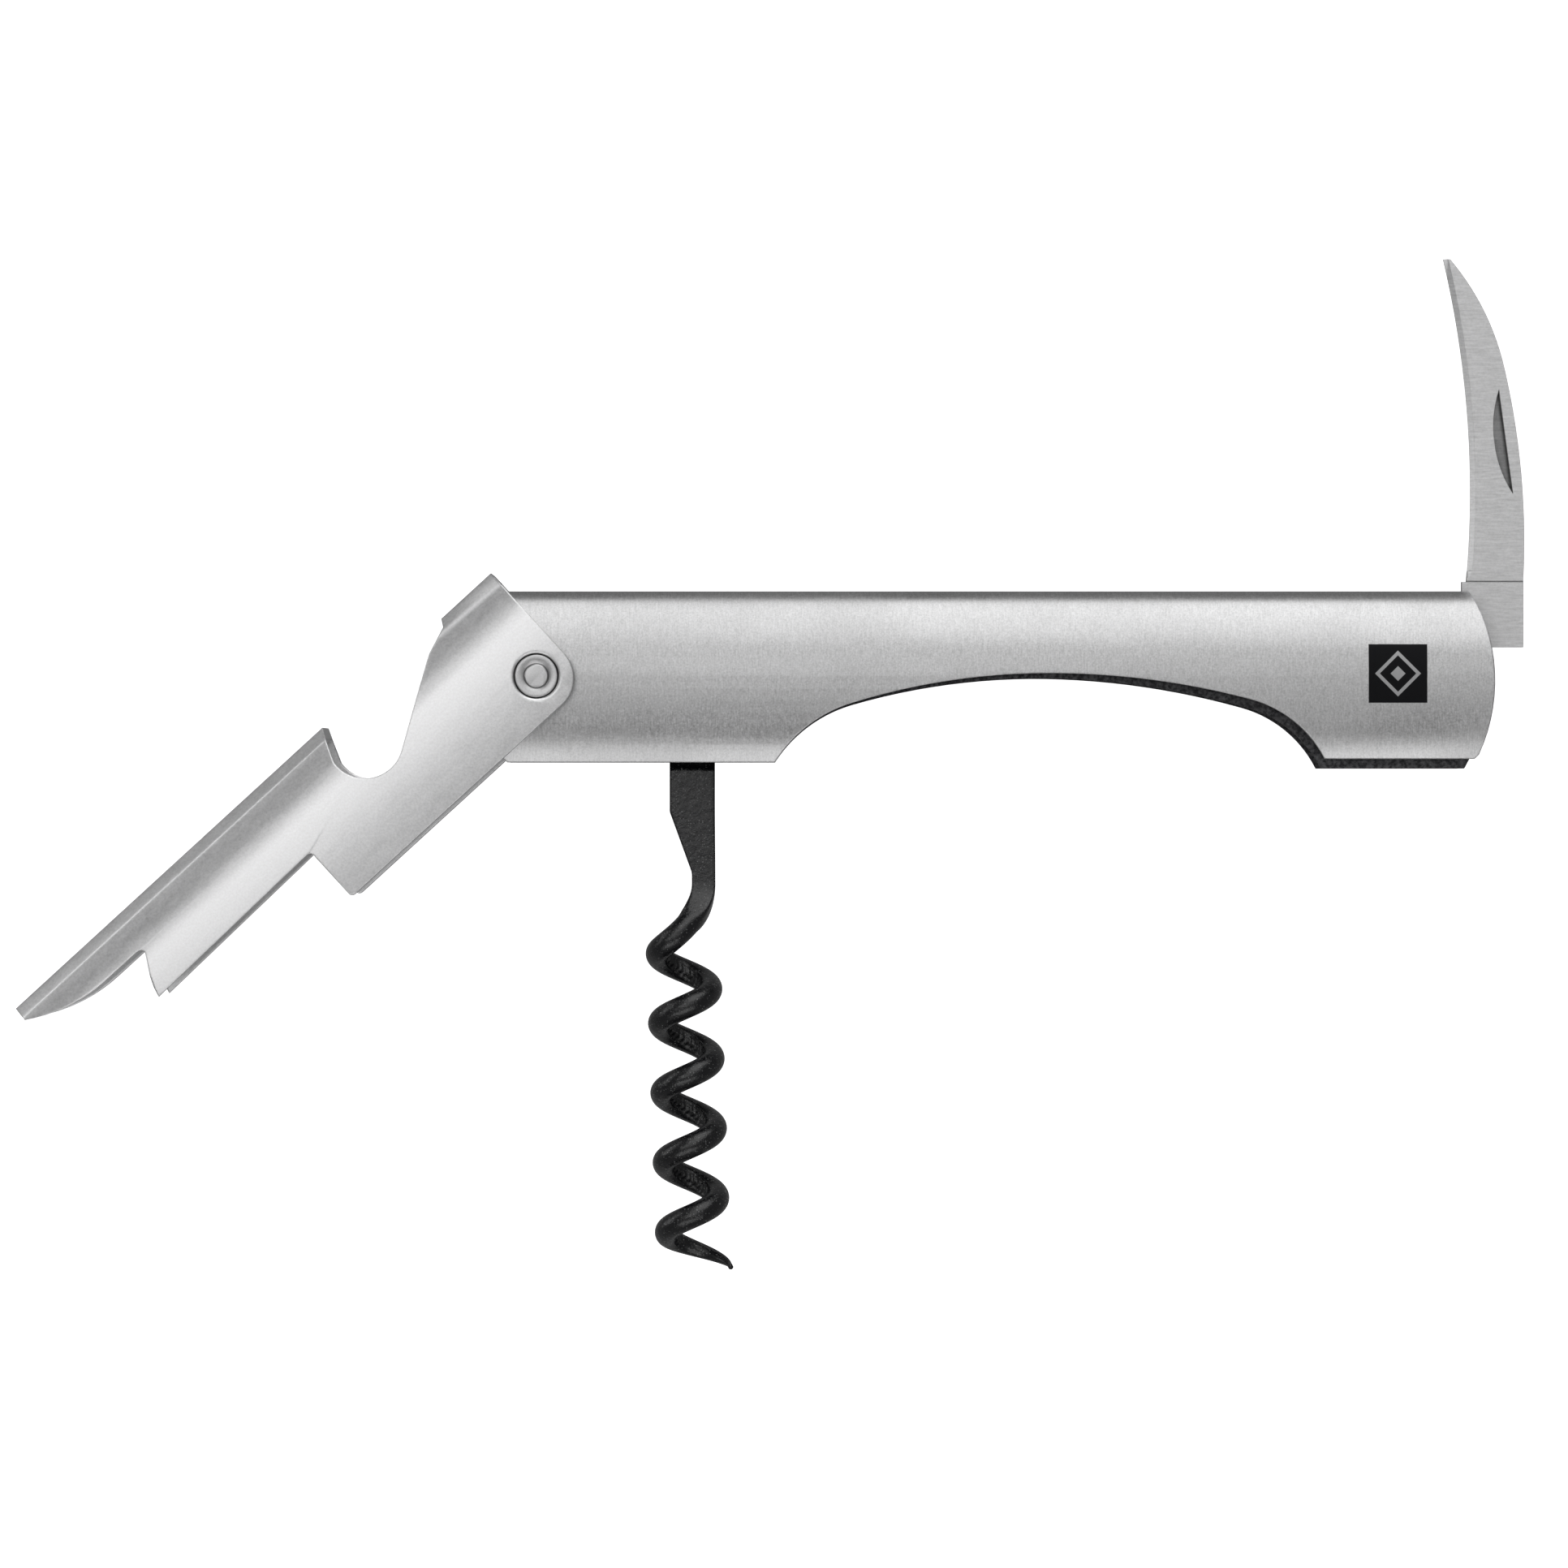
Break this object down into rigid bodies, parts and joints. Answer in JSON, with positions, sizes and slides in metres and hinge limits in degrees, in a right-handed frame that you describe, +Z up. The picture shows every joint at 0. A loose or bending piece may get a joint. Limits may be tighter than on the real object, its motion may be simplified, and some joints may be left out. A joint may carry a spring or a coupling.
{
  "type": "lever corkscrew",
  "caption": "Folding lever corkscrew: a stepped lever, a coiled worm and a curved foil knife that turn on pins in a folded steel handle with an inner frame",
  "frame": {"origin": "centre of the footprint of the object lying on its side with its tools folded out as drawn, on the surface it lies on", "axes": "+X along the handle from the lever towards the knife, +Y from the handle's open side towards its closed back, +Z up, along every hinge pin"},
  "size_m": [0.1728, 0.1161, 0.0183],
  "materials": {
    "brushed_steel": "stainless sheet, brushed across its length",
    "satin_steel": "stainless sheet, fine bead-blasted satin",
    "blackened_steel": "blackened steel with bare cut edges",
    "turned_steel": "plain turned steel",
    "black_coating": "grainy black non-stick coating on steel wire",
    "blade_steel": "stainless blade, ground across its length"
  },
  "bodies": {
    "handle": {"handle_shell": "brushed_steel", "front_liner": "blackened_steel", "back_liner": "blackened_steel", "middle_spacer": "turned_steel", "rear_spacer": "turned_steel", "lever_bush": "turned_steel", "worm_pin": "turned_steel", "front_worm_spacer": "turned_steel", "back_worm_spacer": "turned_steel", "knife_pin": "turned_steel", "front_knife_spacer": "turned_steel", "back_knife_spacer": "turned_steel"},
    "lever": {"lever": "satin_steel", "lever_pin": "turned_steel", "front_rivet_washer": "turned_steel", "back_rivet_washer": "turned_steel", "front_shim": "turned_steel", "back_shim": "turned_steel"},
    "worm": {"worm": "black_coating"},
    "knife": {"knife_blade": "blade_steel"}
  },
  "joints": [
    {"name": "lever_hinge", "type": "hinge", "parent": "handle", "child": "lever", "pos_m": [-0.02691, 0.01002, 0.00915], "axis": [0, 0, 1], "range_deg": [-50, 64]},
    {"name": "worm_hinge", "type": "hinge", "parent": "handle", "child": "worm", "pos_m": [-0.00921, 0.00662, 0.00915], "axis": [0, 0, 1], "range_deg": [0, 90]},
    {"name": "knife_hinge", "type": "hinge", "parent": "handle", "child": "knife", "pos_m": [0.07859, 0.01402, 0.00915], "axis": [0, 0, 1], "range_deg": [-88, 88]}
  ]
}
